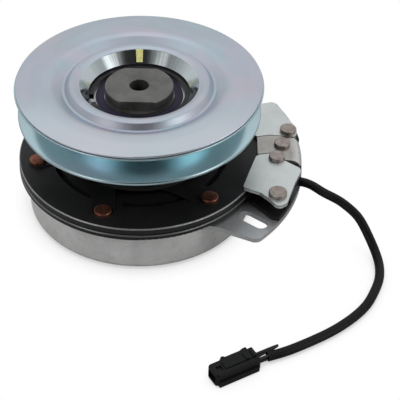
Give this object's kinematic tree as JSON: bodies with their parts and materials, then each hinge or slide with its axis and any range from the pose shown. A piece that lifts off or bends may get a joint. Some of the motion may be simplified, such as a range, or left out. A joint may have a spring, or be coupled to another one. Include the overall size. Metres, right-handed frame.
{
  "type": "electromagnetic clutch",
  "caption": "Electromagnetic power take-off clutch: belt pulley on a ball bearing over a sprung armature, rotor and coil housing with a permanent-magnet brake, lead and plug.",
  "frame": {"origin": "on the shaft axis at the bottom face of the field housing", "axes": "+Z along the shaft axis towards the pulley; +X towards the middle of the anti-rotation plate and brake"},
  "size_m": [0.2263, 0.2445, 0.0895],
  "materials": {
    "turned_steel": "turned satin",
    "plate_steel": "pressed, satin",
    "bobbin_nylon": "moulded",
    "coil_wire": "enamelled copper wire",
    "potting_resin": "cast resin",
    "black_moulding": "moulded",
    "ferrite": "sintered",
    "zinc_steel": "zinc plated",
    "nickel_clip": "nickel plated",
    "nickel_rivet": "nickel plated",
    "bearing_steel": "ground",
    "ball_steel": "polished",
    "cage_nylon": "moulded",
    "seal_rubber": "moulded",
    "spring_steel": "blackened",
    "hub_steel": "machined",
    "rotor_black": "black coated",
    "friction_lining": "sintered lining",
    "collar_steel": "machined",
    "pulley_zinc": "blue zinc plated",
    "leaf_black": "blackened spring steel",
    "black_rivet": "black coated",
    "armature_black": "black coated",
    "copper_rivet": "copper plated",
    "lead_black": "flexible sleeve",
    "wire_black": "insulated wire",
    "plug_nylon": "moulded",
    "terminal_tin": "tin plated",
    "wire_seal": "moulded"
  },
  "bodies": {
    "field": {"field_shell": "turned_steel", "coil_bobbin": "bobbin_nylon", "coil_winding": "coil_wire", "potting_ring": "potting_resin", "anti_rotation_plate": "plate_steel", "brake_housing": "black_moulding", "brake_magnet": "ferrite", "pole_plate_front": "zinc_steel", "pole_plate_rear": "zinc_steel", "brake_clip": "nickel_clip", "brake_rivets": "nickel_rivet", "field_bearing_outer": "bearing_steel", "field_bearing_seals": "seal_rubber", "field_snap_ring": "spring_steel", "lead_grommet": "lead_black", "lead_sleeve": "lead_black", "lead_wires": "wire_black", "plug_housing": "plug_nylon", "plug_terminals": "terminal_tin", "plug_seals": "wire_seal"},
    "rotor": {"rotor_hub": "hub_steel", "rotor_disc": "rotor_black", "friction_ring": "friction_lining", "pulley_bearing_inner": "bearing_steel", "field_bearing_inner": "bearing_steel", "collar": "collar_steel"},
    "pulley": {"pulley_cover": "pulley_zinc", "pulley_groove": "pulley_zinc", "pulley_web": "pulley_zinc", "pulley_hub": "pulley_zinc", "pulley_bearing_outer": "bearing_steel", "pulley_bearing_seals": "seal_rubber", "pulley_snap_ring": "spring_steel", "leaf_springs": "leaf_black", "hub_rivets": "black_rivet"},
    "armature": {"armature_plate": "armature_black", "armature_rivets": "copper_rivet"},
    "field_cage": {"field_bearing_balls": "ball_steel", "field_bearing_cage": "cage_nylon"},
    "pulley_cage": {"pulley_bearing_balls": "ball_steel", "pulley_bearing_cage": "cage_nylon"},
    "latch": {"plug_latch": "plug_nylon"}
  },
  "joints": [
    {"name": "rotor_spin", "type": "hinge", "parent": "field", "child": "rotor", "pos_m": [0, 0, 0], "axis": [0, 0, 1], "continuous": true},
    {"name": "pulley_spin", "type": "hinge", "parent": "rotor", "child": "pulley", "pos_m": [0, 0, 0.0685], "axis": [0, 0, 1], "continuous": true},
    {"name": "armature_pull", "type": "slide", "parent": "pulley", "child": "armature", "axis": [0, 0, -1], "range_m": [0, 0.00045], "deforming": ["leaf_springs"]},
    {"name": "field_cage_spin", "type": "hinge", "parent": "field", "child": "field_cage", "pos_m": [0, 0, 0.01], "axis": [0, 0, 1], "continuous": true},
    {"name": "pulley_cage_spin", "type": "hinge", "parent": "rotor", "child": "pulley_cage", "pos_m": [0, 0, 0.0685], "axis": [0, 0, 1], "continuous": true},
    {"name": "latch_flex", "type": "hinge", "parent": "field", "child": "latch", "pos_m": [0.04829, -0.1513, 0.0045], "axis": [0, 0, 1], "range_deg": [-3, 0]}
  ],
  "couplings": [
    {"joint": "field_cage_spin", "follows": "rotor_spin", "ratio": 0.4258},
    {"joint": "pulley_cage_spin", "follows": "pulley_spin", "ratio": 0.5742}
  ]
}
